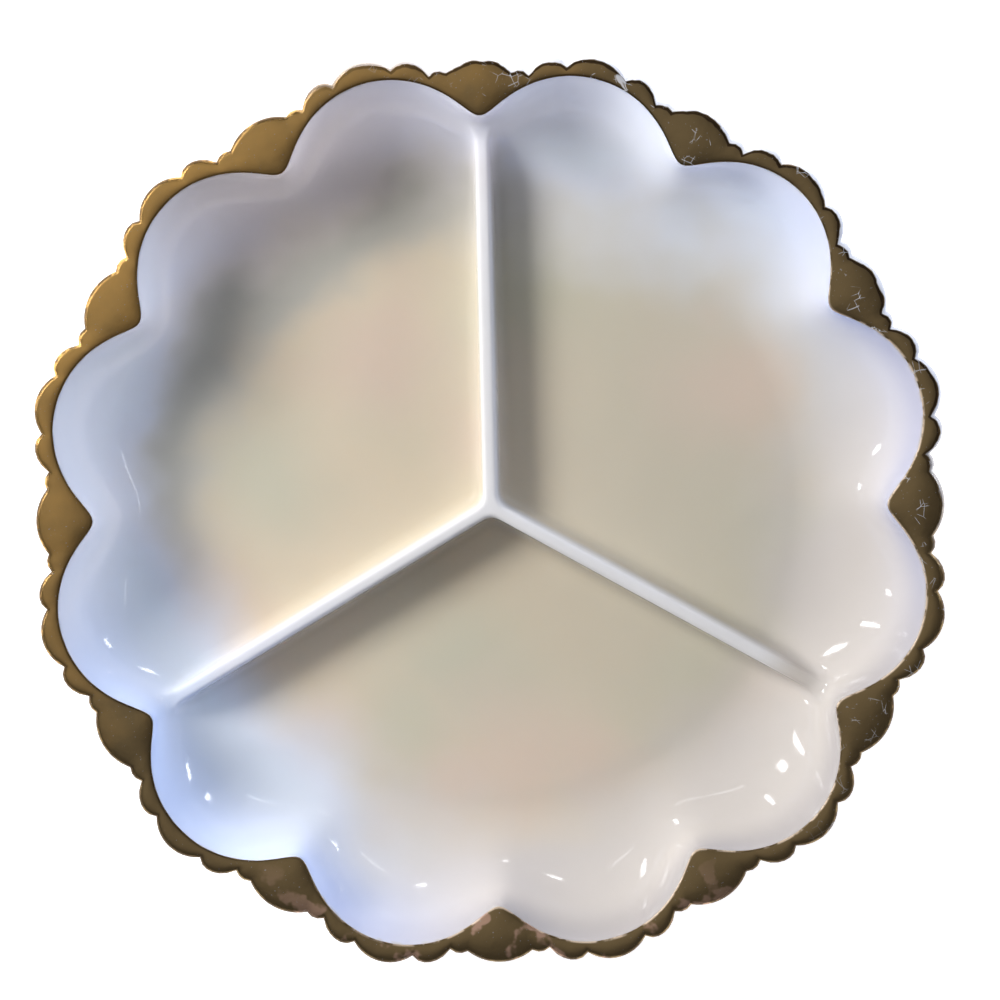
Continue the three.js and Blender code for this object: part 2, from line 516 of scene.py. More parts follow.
@dataclass(frozen=True)
class Outside:
    """The underside of the rim, the outer wall and the foot."""

    rim: Rim = field(default_factory=Rim)
    foot_top_radius: float = 83.2
    foot_top_height: float = 2.5
    wall_top: float = 25.0
    wall_thickness: float = 2.0
    under_share: float = 0.35
    last_turn: float = 0.08
    rows: int = 18
    foot: tuple[tuple[float, float], ...] = (
        (82.75, 1.5), (82.35, 0.7), (81.8, 0.18), (81.1, 0.0), (79.5, 0.0), (78.8, 0.18), (78.2, 0.7),
        (77.6, 1.18), (76.6, 1.4), (74.5, 1.4),
    )

    def rings(self, angle: Array) -> list[Ring]:
        """Gives rings from under the rim down to the recess inside the foot.

        Args:
            angle: the columns' directions.

        Returns:
            Rings of radius and height.
        """
        outline = self.rim.bowl.outline
        sweep = math.radians(self.rim.bowl.sweep)
        top = outline.lip(angle) + self.wall_thickness
        edge = outline.edge(angle) - self.rim.film - self.rim.under_rounding
        full = np.ones_like(angle)
        level = full * self.rim.under_height
        rings = [(edge, level), (top + self.under_share * (edge - top), level)]
        for turn in np.linspace(sweep, self.last_turn, self.rows):
            up = (1 - math.cos(turn)) / (1 - math.cos(sweep))
            reach = outline.ridged_lip(angle, up) + self.wall_thickness - self.foot_top_radius
            radius = self.foot_top_radius + reach * math.sin(turn) / math.sin(sweep)
            height = self.foot_top_height + (self.wall_top - self.foot_top_height) * up
            rings.append((radius, full * height))
        rings += [(full * radius, full * height) for radius, height in self.foot]
        return rings


# ---- modelling ---------------------------------------------------------------------------------


class Bench:
    """Steps of modelling that the pieces share."""

    @staticmethod
    def clear() -> None:
        """Leaves object mode and deselects everything."""
        if bpy.context.object is not None and bpy.context.object.mode != "OBJECT":
            bpy.ops.object.mode_set(mode="OBJECT")
        bpy.ops.object.select_all(action="DESELECT")

    @staticmethod
    def only(obj: bpy.types.Object) -> None:
        """Selects one object and makes it the active one.

        Args:
            obj: the object.
        """
        Bench.clear()
        obj.select_set(True)
        bpy.context.view_layer.objects.active = obj

    @staticmethod
    @contextmanager
    def editing(obj: bpy.types.Object) -> Iterator[None]:
        """Holds an object in edit mode for the steps inside.

        Args:
            obj: the mesh object.

        Yields:
            None, while the object is in edit mode.
        """
        Bench.only(obj)
        bpy.ops.object.mode_set(mode="EDIT")
        yield
        bpy.ops.object.mode_set(mode="OBJECT")

    @staticmethod
    def places(obj: bpy.types.Object) -> Array:
        """Gives the places of an object's vertices.

        Args:
            obj: the mesh object.

        Returns:
            A row of x, y and z for each vertex, in metres.
        """
        flat = np.empty(len(obj.data.vertices) * 3)
        obj.data.vertices.foreach_get("co", flat)
        return flat.reshape(-1, 3)

    @staticmethod
    def lay(obj: bpy.types.Object, places: Array) -> None:
        """Moves an object's vertices to places in metres."""
        obj.data.vertices.foreach_set("co", places.ravel())
        obj.data.update()

    @staticmethod
    def mark(obj: bpy.types.Object, name: str, values: Array) -> None:
        """Stores a number on each vertex.

        Args:
            obj: the mesh object.
            name: the attribute's name.
            values: a number for each vertex.
        """
        attribute = obj.data.attributes.new(name, "FLOAT", "POINT")
        attribute.data.foreach_set("value", values.astype(np.float32))

    @staticmethod
    def weld(obj: bpy.types.Object, outwards: bool = True) -> None:
        """Merges doubled vertices and turns the faces of a closed mesh outwards.

        Args:
            obj: the mesh object.
            outwards: whether the normals are recalculated.
        """
        with Bench.editing(obj):
            bpy.ops.mesh.select_all(action="SELECT")
            bpy.ops.mesh.remove_doubles(threshold=WELD)
            if outwards:
                bpy.ops.mesh.normals_make_consistent(inside=False)

    @staticmethod
    def join(name: str, parts: list[bpy.types.Object]) -> bpy.types.Object:
        """Joins meshes into one object.

        Args:
            name: the joined object's name.
            parts: the objects to join.

        Returns:
            The joined object.
        """
        Bench.only(parts[0])
        for part in parts:
            part.select_set(True)
        bpy.ops.object.join()
        joined = bpy.context.object
        joined.name = name
        joined.data.name = name
        return joined


class RingShell:
    """A surface drawn from one circle: ring after ring is extruded from the last and laid on a contour."""

    def __init__(self, angles: Array, start: Ring) -> None:
        """Adds the first ring.

        Args:
            angles: the columns' directions in degrees.
            start: radius and height of the first ring.
        """
        Bench.clear()
        self.angles = angles
        radius = start[0][0] * MM
        bpy.ops.mesh.primitive_circle_add(vertices=len(angles), radius=radius, fill_type="NOTHING")
        self.obj = bpy.context.object
        turn = np.radians(angles)
        self.directions = np.stack([np.cos(turn), np.sin(turn)], axis=1)
        Bench.lay(self.obj, self._ring(start, np.arange(len(angles))))

    def _ring(self, ring: Ring, columns: Array) -> Array:
        """Gives a ring's places in metres, in the order of the columns asked for."""
        radius, height = ring[0][columns], ring[1][columns]
        return np.column_stack([self.directions[columns] * radius[:, None], height]) * MM

    def extrude(self, ring: Ring) -> None:
        """Extrudes the selected ring and lays the new one on its contour.

        Args:
            ring: the new ring's radius and height.
        """
        with Bench.editing(self.obj):
            bpy.ops.mesh.extrude_region_move(TRANSFORM_OT_translate={"value": (0, 0, 0)})
        places = Bench.places(self.obj)
        fresh = places[-len(self.angles) :]
        turned = np.degrees(np.arctan2(fresh[:, 1], fresh[:, 0]))
        order = np.argsort(self.angles % FULL_TURN)
        ranked = (self.angles % FULL_TURN)[order]
        nearest = np.searchsorted(ranked, (turned + ANGLE_SLACK) % FULL_TURN) - 1
        places[-len(self.angles) :] = self._ring(ring, order[nearest])
        Bench.lay(self.obj, places)

    def draw(self, rings: list[Ring]) -> bpy.types.Object:
        """Extrudes ring after ring.

        Args:
            rings: the contours in order.

        Returns:
            The object. Its last ring is still selected.
        """
        for ring in rings:
            self.extrude(ring)
        return self.obj

    def close(self) -> None:
        """Fills the last ring with one flat face."""
        with Bench.editing(self.obj):
            bpy.ops.mesh.edge_face_add()


# ---- shader nodes ------------------------------------------------------------------------------


@dataclass(frozen=True)
class Side:
    """One side of the dish in plan: a direction, and the metres along it at which the side fades in."""

    x: float
    y: float
    reach: Span


class Value:
    """A number that varies over a surface. Sums and products on it add Math nodes."""

    def __init__(self, shader: "Shader", socket: bpy.types.NodeSocket) -> None:
        """Wraps an output socket of a shader."""
        self.shader = shader
        self.socket = socket

    def _math(self, operation: str, *values: Any) -> "Value":
        """Adds a Math node and gives its output."""
        node = self.shader.node("ShaderNodeMath", {"operation": operation}, dict(enumerate(values)))
        return Value(self.shader, node.outputs[0])

    def __add__(self, other: Any) -> "Value":
        """Adds."""
        return self._math("ADD", self, other)

    def __radd__(self, other: Any) -> "Value":
        """Adds, the other way round."""
        return self._math("ADD", other, self)

    def __sub__(self, other: Any) -> "Value":
        """Subtracts."""
        return self._math("SUBTRACT", self, other)

    def __rsub__(self, other: Any) -> "Value":
        """Subtracts, the other way round."""
        return self._math("SUBTRACT", other, self)

    def __mul__(self, other: Any) -> "Value":
        """Multiplies."""
        return self._math("MULTIPLY", self, other)

    def __rmul__(self, other: Any) -> "Value":
        """Multiplies, the other way round."""
        return self._math("MULTIPLY", other, self)

    def __truediv__(self, other: Any) -> "Value":
        """Divides."""
        return self._math("DIVIDE", self, other)

    def __pow__(self, other: Any) -> "Value":
        """Raises to a power."""
        return self._math("POWER", self, other)

    def most(self, other: Any) -> "Value":
        """Gives the greater of this and another."""
        return self._math("MAXIMUM", self, other)

    def clamp(self) -> "Value":
        """Holds the number between 0 and 1."""
        return self._math("MINIMUM", self._math("MAXIMUM", self, 0.0), 1.0)

    def step(self, low: float, high: float) -> "Value":
        """Gives a smooth step.

        Args:
            low: where the step starts, with 0.
            high: where it ends, with 1.

        Returns:
            Numbers from 0 to 1.
        """
        node = self.shader.node(
            "ShaderNodeMapRange",
            {"interpolation_type": "SMOOTHSTEP"},
            {"Value": self, "From Min": low, "From Max": high},
        )
        return Value(self.shader, node.outputs["Result"])


class Shader:
    """A node tree that varies over a surface or over the sky."""

    def __init__(self, tree: bpy.types.NodeTree, place: Place) -> None:
        """Takes up a tree.

        Args:
            tree: the node tree.
            place: what the patterns lie on.
        """
        self.tree = tree
        self.coordinates = self.node("ShaderNodeTexCoord").outputs[place.value]

    def node(
        self,
        kind: str,
        settings: Mapping[str, Any] | None = None,
        sockets: Mapping[Any, Any] | None = None,
    ) -> bpy.types.Node:
        """Adds a node.

        Args:
            kind: the node's type.
            settings: its settings, which are set first.
            sockets: values or links of its inputs, by name or number.

        Returns:
            The node.
        """
        made = self.tree.nodes.new(kind)
        for name, value in (settings or {}).items():
            setattr(made, name, value)
        for key, value in (sockets or {}).items():
            self.feed(made.inputs[key], value)
        return made

    def feed(self, socket: bpy.types.NodeSocket, value: Any) -> None:
        """Links a value or socket into an input, or sets a constant on it.

        Args:
            socket: the input.
            value: a value, a socket or a constant.
        """
        if isinstance(value, Value):
            self.tree.links.new(value.socket, socket)
        elif isinstance(value, bpy.types.NodeSocket):
            self.tree.links.new(value, socket)
        else:
            if isinstance(value, tuple) and socket.type == "RGBA":
                value = (*value, 1.0)
            socket.default_value = value

    def axes(self) -> tuple[Value, Value, Value]:
        """Gives the place on the surface, or the direction in the sky.

        Returns:
            Three numbers, in metres on a surface.
        """
        split = self.node("ShaderNodeSeparateXYZ", sockets={0: self.coordinates})
        x, y, z = (Value(self, output) for output in split.outputs)
        return x, y, z

    def moved(self, shift: Triple, stretch: Triple = (1.0, 1.0, 1.0)) -> bpy.types.NodeSocket:
        """Gives the coordinates stretched and then shifted."""
        sockets = {"Vector": self.coordinates, "Scale": stretch, "Location": shift}
        return self.node("ShaderNodeMapping", sockets=sockets).outputs[0]

    def noise(
        self,
        scale: float,
        detail: float,
        seed: float = 0.0,
        stretch: Triple = (1.0, 1.0, 1.0),
    ) -> Value:
        """Gives noise over the surface.

        Args:
            scale: features per metre.
            detail: octaves.
            seed: shifts the pattern.
            stretch: scale along each axis.

        Returns:
            Numbers round 0.5.
        """
        place = self.moved((seed, seed, 0.0), stretch)
        sockets = {"Vector": place, "Scale": scale, "Detail": detail}
        return Value(self, self.node("ShaderNodeTexNoise", sockets=sockets).outputs[0])

    def lines(self, scale: float, width: float, seed: float) -> Value:
        """Gives thin straight lines that cross the surface.

        Args:
            scale: cells between the lines, per metre.
            width: width of a line as a share of a cell.
            seed: shifts the pattern.

        Returns:
            Numbers from 0 to 1 on a line.
        """
        sockets = {"Vector": self.moved((seed, 0.0, seed)), "Scale": scale}
        cells = self.node("ShaderNodeTexVoronoi", {"feature": "DISTANCE_TO_EDGE"}, sockets)
        return 1.0 - Value(self, cells.outputs["Distance"]).step(width * 0.4, width)

    def side(self, side: Side) -> Value:
        """Gives a number that rises from 0 to 1 towards one side of the dish."""
        x, y, _ = self.axes()
        return (x * side.x + y * side.y).step(*side.reach)

    def attribute(self, name: str) -> Value:
        """Gives a number stored on the piece's vertices."""
        return Value(self, self.node("ShaderNodeAttribute", {"attribute_name": name}).outputs["Fac"])

    def mix(self, share: Any, first: Any, second: Any) -> bpy.types.NodeSocket:
        """Mixes two colours.

        Args:
            share: how much of the second.
            first: a colour or socket.
            second: a colour or socket.

        Returns:
            The mixed colour's socket.
        """
        sockets = {MIX_FACTOR: share, MIX_FIRST: first, MIX_SECOND: second}
        return self.node("ShaderNodeMix", {"data_type": "RGBA"}, sockets).outputs[MIX_RESULT]

    def bump(self, height: Value, distance: float, below: Any = None) -> bpy.types.NodeSocket:
        """Gives a normal bent by a height.

        Args:
            height: the height, from 0 to 1.
            distance: metres that a height of 1 stands for.
            below: a normal to bend further.

        Returns:
            The normal's socket.
        """
        sockets = {"Strength": 1.0, "Distance": distance, "Height": height}
        if below is not None:
            sockets["Normal"] = below
        return self.node("ShaderNodeBump", sockets=sockets).outputs[0]


class Finish(Shader):
    """A material's node tree, with its Principled BSDF ready."""

    def __init__(self, name: str) -> None:
        """Starts a material of that name."""
        self.material = bpy.data.materials.new(name)
        self.material.use_nodes = True
        super().__init__(self.material.node_tree, Place.MESH)
        self.surface = self.tree.nodes["Principled BSDF"]


# ---- finishes ----------------------------------------------------------------------------------


@dataclass(frozen=True)
class OpalGlass:
    """Opaque white pressed glass, cream where it lies flat and thick and cooler in the thin wall, with
    painted light and shade.
    """

    floor: Colour = (0.77, 0.69, 0.55)
    # Painted shade on the floor, towards the side away from the window lamp.
    painted_shade_floor: Colour = (0.67, 0.64, 0.54)
    rose: Colour = (0.78, 0.65, 0.56)
    moss: Colour = (0.64, 0.645, 0.53)
    # Painted shadow of the lip, laid in a band at the foot of the wall.
    foot: Colour = (0.54, 0.55, 0.51)
    crest: Colour = (0.88, 0.89, 0.93)
    wall: Colour = (0.80, 0.77, 0.79)
    # Painted bluish light on the walls towards two sides.
    painted_skylight_wall: Colour = (0.80, 0.86, 0.98)
    # Painted warm tint and painted shade on the walls that face the window lamp.
    painted_window_light_wall: Colour = (0.67, 0.64, 0.62)
    # Painted shade on the upper wall, on the side that faces the window lamp.
    painted_lip_shade: Colour = (0.52, 0.50, 0.51)
    sky_through: Colour = (0.03, 0.08, 0.26)
    sun_through: Colour = (0.26, 0.235, 0.25)
    glow: float = 0.3
    glow_depth: float = 0.003
    index: float = 1.5
    roughness: float = 0.05
    cloudiness: float = 0.7
    cloud_drift: float = 0.03
    wall_drift: float = 0.055
    lip_shadow_share: float = 0.75
    right_sky_share: float = 0.85
    left_sky_loss: float = 0.8
    left_sun_share: float = 0.7
    sun_share: float = 0.65
    grime: float = 0.03
    scuff: float = 0.10
    ripple_height: float = 0.0004
    grain_height: float = 0.000012
    rose_clouds: tuple[Triple, ...] = ((0.068, 0.034, 0.036), (0.004, -0.072, 0.032), (-0.028, 0.036, 0.026))
    moss_clouds: tuple[Triple, ...] = ((0.016, 0.060, 0.034), (-0.008, -0.044, 0.034), (-0.062, 0.012, 0.030))
    painted_shade_side: Side = Side(0.9, 0.1, (-0.032, 0.072))
    far_right: Side = Side(0.7, 0.7, (0.03, 0.09))
    left: Side = Side(-0.9, -0.3, (0.025, 0.075))
    near_right: Side = Side(0.8, -0.6, (0.0, 0.09))
    far_left: Side = Side(-0.7, 0.7, (0.035, 0.075))
    far: Side = Side(0.0, 1.0, (0.07, 0.1))
    wall_radii: Span = (0.064, 0.102)
    lip_shadow_inner: Span = (0.066, 0.079)
    lip_shadow_outer: Span = (0.079, 0.092)
    crest_heights: Span = (0.0065, 0.0125)
    crest_ends: Span = (0.080, 0.094)
    lip_shade_heights: Span = (0.016, 0.027)
    sky_heights: Span = (0.008, 0.026)
    sun_heights: Span = (0.004, 0.016)

    def _clouds(self, shader: Shader, clouds: tuple[Triple, ...]) -> Value:
        """Gives soft round clouds in plan, with straying outlines.

        Args:
            shader: the tree to add to.
            clouds: each cloud's place along X and Y, and its radius, in metres.

        Returns:
            Numbers from 0 outside to 1 in the middle of a cloud.
        """
        x, y, _ = shader.axes()
        drift = (shader.noise(30.0, 2.0, seed=12.0) - 0.5) * self.cloud_drift
        shares = []
        for across, along, size in clouds:
            away = ((x - across) ** 2.0 + (y - along) ** 2.0) ** 0.5 + drift
            shares.append(1.0 - away.step(0.0, size))
        return reduce(Value.most, shares)

    def _floor(self, shader: Shader) -> bpy.types.NodeSocket:
        """Gives the floor's colour: cream, with painted shade towards one side, and faint rose and green
        clouds.
        """
        rose = shader.noise(17.0, 2.0, seed=3.1).step(0.50, 0.74).most(self._clouds(shader, self.rose_clouds))
        moss = shader.noise(14.0, 2.0, seed=8.4).step(0.50, 0.76).most(self._clouds(shader, self.moss_clouds))
        # Painted shade: the floor is darkened towards the side away from the window lamp.
        colour = shader.mix(shader.side(self.painted_shade_side), self.floor, self.painted_shade_floor)
        colour = shader.mix(moss * self.cloudiness, colour, self.moss)
        return shader.mix(rose * self.cloudiness, colour, self.rose)

    def _body(self, shader: Shader) -> bpy.types.NodeSocket:
        """Gives the glass's colour over the floor, the wall and the dividers, with painted light and shade on
        the floor and wall.

        Args:
            shader: the tree to add to.

        Returns:
            The colour's socket.
        """
        x, y, z = shader.axes()
        radius = (x * x + y * y) ** 0.5
        reach = radius + (shader.noise(20.0, 3.0, seed=5.0) - 0.5) * self.wall_drift
        near_right = shader.side(self.near_right)
        # Painted light: the walls towards two sides are tinted blue, standing for bluish light on them.
        painted_skylight = shader.side(self.far_right).most(shader.side(self.left))
        wall = shader.mix(painted_skylight, self.wall, self.painted_skylight_wall)
        # Painted warm tint and painted shade on the walls on the side that faces the window lamp.
        wall = shader.mix(near_right, wall, self.painted_window_light_wall)
        base = shader.mix(reach.step(*self.wall_radii), self._floor(shader), wall)
        # Painted shadow of the lip: a dark band at the wall's foot on the far left, where the window side's
        # lip casts its shadow.
        lip_shadow_band = reach.step(*self.lip_shadow_inner) * (1.0 - reach.step(*self.lip_shadow_outer))
        base = shader.mix(lip_shadow_band * shader.side(self.far_left) * self.lip_shadow_share, base, self.foot)
        # Painted shade on the upper wall under the lip, on the side that faces the window lamp.
        base = shader.mix(near_right * z.step(*self.lip_shade_heights), base, self.painted_lip_shade)
        raised = z.step(*self.crest_heights) * (1.0 - radius.step(*self.crest_ends))
        return shader.mix(raised, base, self.crest)

    def _lit_through(self, shader: Shader) -> bpy.types.NodeSocket:
        """Gives the light that comes through the thin wall: daylight on two sides, the sun on the far one.

        Args:
            shader: the tree to add to.

        Returns:
            The colour's socket. It is black on the outside and on the floor.
        """
        _, _, z = shader.axes()
        inside = shader.attribute("inside")
        far_left = shader.side(self.far_left)
        right_sky = shader.side(self.far_right) * self.right_sky_share
        sky = right_sky.most(shader.side(self.left) - far_left * self.left_sky_loss)
        sun = shader.side(self.far).most(far_left * self.left_sun_share) * self.sun_share
        light = shader.mix(inside * z.step(*self.sky_heights) * sky, BLACK, self.sky_through)
        return shader.mix(inside * z.step(*self.sun_heights) * sun, light, self.sun_through)

    def _surface(self, shader: Finish) -> None:
        """Sets the roughness and the normal: grime, scuffs, slow ripples and a fine grain.

        Args:
            shader: the material's shader.
        """
        scuffs = shader.noise(60.0, 5.0, seed=2.0, stretch=(1.0, 14.0, 1.0)).step(0.62, 0.75)
        grime = shader.noise(700.0, 4.0) * self.grime
        shader.feed(shader.surface.inputs["Roughness"], self.roughness + grime + scuffs * self.scuff)
        ripple = shader.bump(shader.noise(45.0, 1.0, seed=1.7), self.ripple_height)
        fine = shader.bump(shader.noise(420.0, 2.0, seed=4.0), self.grain_height, below=ripple)
        shader.feed(shader.surface.inputs["Normal"], fine)

    def material(self) -> bpy.types.Material:
        """Makes the material.

        Returns:
            The material.
        """
        shader = Finish("opal_glass")
        surface = shader.surface.inputs
        shader.feed(surface["Base Color"], self._body(shader))
        shader.feed(surface["Emission Color"], self._lit_through(shader))
        surface["Emission Strength"].default_value = 1.0
        surface["IOR"].default_value = self.index
        surface["Subsurface Weight"].default_value = self.glow
        surface["Subsurface Radius"].default_value = (1.0, 1.0, 1.0)
        surface["Subsurface Scale"].default_value = self.glow_depth
        self._surface(shader)
        return shader.material


@dataclass(frozen=True)
class FiredGold:
    """Gold fired onto glass, silvery on part of its edge and scratched on one side; its sheen and reflections
    are painted on.
    """

    # The next two colours are the gold's painted sheen: bright on the sunny side, olive on the shaded one.
    gold: Colour = (0.92, 0.55, 0.18)
    shaded_side_gold: Colour = (0.36, 0.255, 0.125)
    # Painted reflection: copper-pink patches on the near side of the rim.
    copper: Colour = (0.92, 0.58, 0.44)
    # Painted highlight along the lip on the shaded side of the rim.
    pale: Colour = (0.95, 0.78, 0.60)
    silver: Colour = (0.90, 0.92, 0.98)
    # Painted dark reflections on the rolled edge and the lip's corner.
    dark_reflection: Colour = (0.09, 0.055, 0.03)
    roughness: float = 0.25
    cloud_scale: float = 90.0
    cloud_depth: float = 0.9
    stray: float = 0.7
    smear: float = 0.12
    dimple_height: float = 0.00014
    grain_height: float = 0.00001
    edge_radius: float = 0.12
    near: Side = Side(0.0, -1.0, (0.0888, 0.1128))
    east: Side = Side(0.6, 0.8, (0.054, 0.0984))
    scratched: Side = Side(0.85, 0.5, (0.0, 0.084))

    def _sunny(self, shader: Shader) -> Value:
        """Gives a number that runs from -1 at the shaded side of the rim to 1 at the sunny one."""
        x, y, _ = shader.axes()
        return (y * 0.6 - x * 0.8) / self.edge_radius

    def _broken(self, shader: Shader) -> Value:
        """Gives the fine noise that breaks up thin lines."""
        return shader.noise(300.0, 3.0, seed=2.0)

    def _strayed(self, shader: Shader) -> Value:
        """Gives the share of the way out to the edge, strayed a little."""
        return shader.attribute("across") + (shader.noise(150.0, 2.0, seed=11.0) - 0.5) * self.stray

    def _dark_reflections(self, shader: Shader) -> Value:
        """Gives where dark reflections are painted on the gold: a band or a broken line near the edge, and a
        line along the lip.

        Args:
            shader: the tree to add to.

        Returns:
            Numbers from 0 to 1.
        """
        strayed, east = self._strayed(shader), shader.side(self.east)
        edge_dark_band = strayed.step(0.52, 0.60) * (1.0 - strayed.step(0.72, 0.80)) * east
        broken = self._broken(shader).step(0.36, 0.52)
        line = shader.attribute("across").step(0.78, 0.88) * (1.0 - east) * broken
        lip = shader.attribute("within").step(0.45, 0.85) * self._sunny(shader).step(-0.5, 0.4)
        return edge_dark_band.most(line).most(lip * 0.8) * 0.9

    def _scratches(self, shader: Shader) -> Value:
        """Gives bundles of short straight scratches on one side of the rim.

        Args:
            shader: the tree to add to.

        Returns:
            Numbers from 0 to 1 on a scratch.
        """
        crossed = shader.lines(170.0, 0.014, 3.0).most(shader.lines(260.0, 0.016, 7.0))
        bundles = shader.noise(170.0, 2.0, seed=9.0).step(0.58, 0.64)
        return crossed * bundles * shader.side(self.scratched)

    def material(self) -> bpy.types.Material:
        """Makes the material.

        Returns:
            The material.
        """
        shader = Finish("gilding")
        surface = shader.surface.inputs
        sunny = self._sunny(shader)
        cloudy = (shader.noise(self.cloud_scale, 3.0) - 0.5) * self.cloud_depth
        # Painted sheen: the gold is painted bright on the sunny side of the rim and olive on the shaded side,
        # standing for its reflections.
        body = shader.mix((sunny * 1.5 - 0.5 + cloudy).clamp(), self.shaded_side_gold, self.gold)
        # Painted reflection: copper-pink patches on the near side of the rim.
        copper_reflection = shader.noise(130.0, 3.0, seed=6.0).step(0.54, 0.62) * shader.side(self.near)
        body = shader.mix(copper_reflection * 0.75, body, self.copper)
        # Painted reflection: dark lines where the rolled edge and the lip's corner mirror the dark room.
        body = shader.mix(self._dark_reflections(shader), body, self.dark_reflection)
        # Painted highlight: a pale, broken line along the lip on the shaded side of the rim, standing for the
        # window's glint there.
        lip_glint_band = shader.attribute("within").step(0.50, 0.80) * (1.0 - sunny.step(-0.6, 0.0))
        pale = lip_glint_band * self._broken(shader).step(0.40, 0.54)
        body = shader.mix(pale * 0.8, body, self.pale)
        # Silvery white on the outer edge, towards one side of the rim.
        silver_edge = self._strayed(shader).step(0.74, 0.82) * shader.side(self.east)
        scratches = self._scratches(shader)
        specks = shader.noise(1500.0, 1.0, seed=5.0).step(0.72, 0.76) * 0.4
        silver_share = silver_edge.most(scratches * 0.9).most(specks)
        shader.feed(surface["Base Color"], shader.mix(silver_share, body, self.silver))
        dull = silver_edge.most(scratches * 0.6).most(pale * 0.6).most(copper_reflection * 0.2)
        shader.feed(surface["Metallic"], 1.0 - dull)
        smear = shader.noise(240.0, 4.0) * self.smear
        shader.feed(surface["Roughness"], self.roughness + smear - silver_edge * 0.1 + scratches * 0.2)
        dimple = shader.bump(shader.noise(160.0, 3.0, seed=7.0), self.dimple_height)
        fine = shader.bump(shader.noise(900.0, 2.0, seed=7.0), self.grain_height, below=dimple)
        shader.feed(surface["Normal"], fine)
        return shader.material


# ---- the pieces --------------------------------------------------------------------------------


@dataclass
class GlassDish:
    """The pressing: floor, wall, dividers, rim and foot in one piece of glass."""

    outside: Outside = field(default_factory=Outside)
    finish: OpalGlass = field(default_factory=OpalGlass)
    name: str = "glass_pressing"

    def _turned(self, obj: bpy.types.Object, angle: float) -> None:
        """Turns an object's mesh about the dish's axis."""
        Bench.only(obj)
        obj.data.transform(Matrix.Rotation(math.radians(angle), 4, "Z"))

    def floor_sector(self) -> bpy.types.Object:
        """Lays a square grid over a third of the floor, with half a divider along each side.

        Returns:
            The grid.
        """
        bowl = self.outside.rim.bowl
        points, last = bowl.grid_points()
        Bench.clear()
        bpy.ops.mesh.primitive_grid_add(x_subdivisions=last, y_subdivisions=last, size=last)
        grid = bpy.context.object
        places = Bench.places(grid)
        first, second = np.rint(places[:, :2] + last / 2).astype(int).T
        flat = points[first, second]
        height = bowl.floor_height_at(flat[:, 0], flat[:, 1])
        Bench.lay(grid, np.column_stack([flat, height]) * MM)
        return grid

    def wall_sector(self, half: Half) -> bpy.types.Object:
        """Lays a grid over half a third of the wall.

        Args:
            half: which half of the third.

        Returns:
            The grid.
        """
        bowl = self.outside.rim.bowl
        points = bowl.wall_points()
        rows, columns = points.shape[0] - 1, points.shape[1] - 1
        Bench.clear()
        bpy.ops.mesh.primitive_grid_add(x_subdivisions=columns, y_subdivisions=rows, size=2.0)
        grid = bpy.context.object
        shares = (Bench.places(grid)[:, :2] + 1) / 2
        column, row = np.rint(shares * (columns, rows)).astype(int).T
        x, y, z = points[row, column].T
        if half is Half.AT_NEXT_DIVIDER:
            x, y = bowl.dividers.mirrored(x, y)
        Bench.lay(grid, np.column_stack([x, y, z]) * MM)
        return grid

    def build(self) -> bpy.types.Object:
        """Builds the whole pressing.

        Returns:
            The glass piece.
        """
        rim = self.outside.rim
        bowl = rim.bowl
        third = Bench.join("third", [self.floor_sector(), *(self.wall_sector(half) for half in Half)])
        Bench.weld(third, outwards=False)
        self._turned(third, bowl.outline.first_cusp)
        thirds = [third]
        for k in range(1, bowl.dividers.count):
            Bench.only(third)
            bpy.ops.object.duplicate()
            copy = bpy.context.object
            self._turned(copy, FULL_TURN / bowl.dividers.count * k)
            thirds.append(copy)
        angles = bowl.all_columns()
        start_radius, start_height, _ = bowl.wall(angles, np.ones_like(angles))
        shell = RingShell(angles, (start_radius, start_height))
        shell.draw(rim.lip(angles) + rim.face_and_edge(angles) + self.outside.rings(angles))
        shell.close()
        for part in thirds:
            Bench.mark(part, "inside", np.ones(len(part.data.vertices)))
        Bench.mark(shell.obj, "inside", np.zeros(len(shell.obj.data.vertices)))
        dish = Bench.join(self.name, thirds + [shell.obj])
        Bench.weld(dish)
        bpy.ops.object.shade_smooth()
        dish.data.materials.clear()
        dish.data.materials.append(self.finish.material())
        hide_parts("glass_dish")
        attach(dish, "root")
        return dish


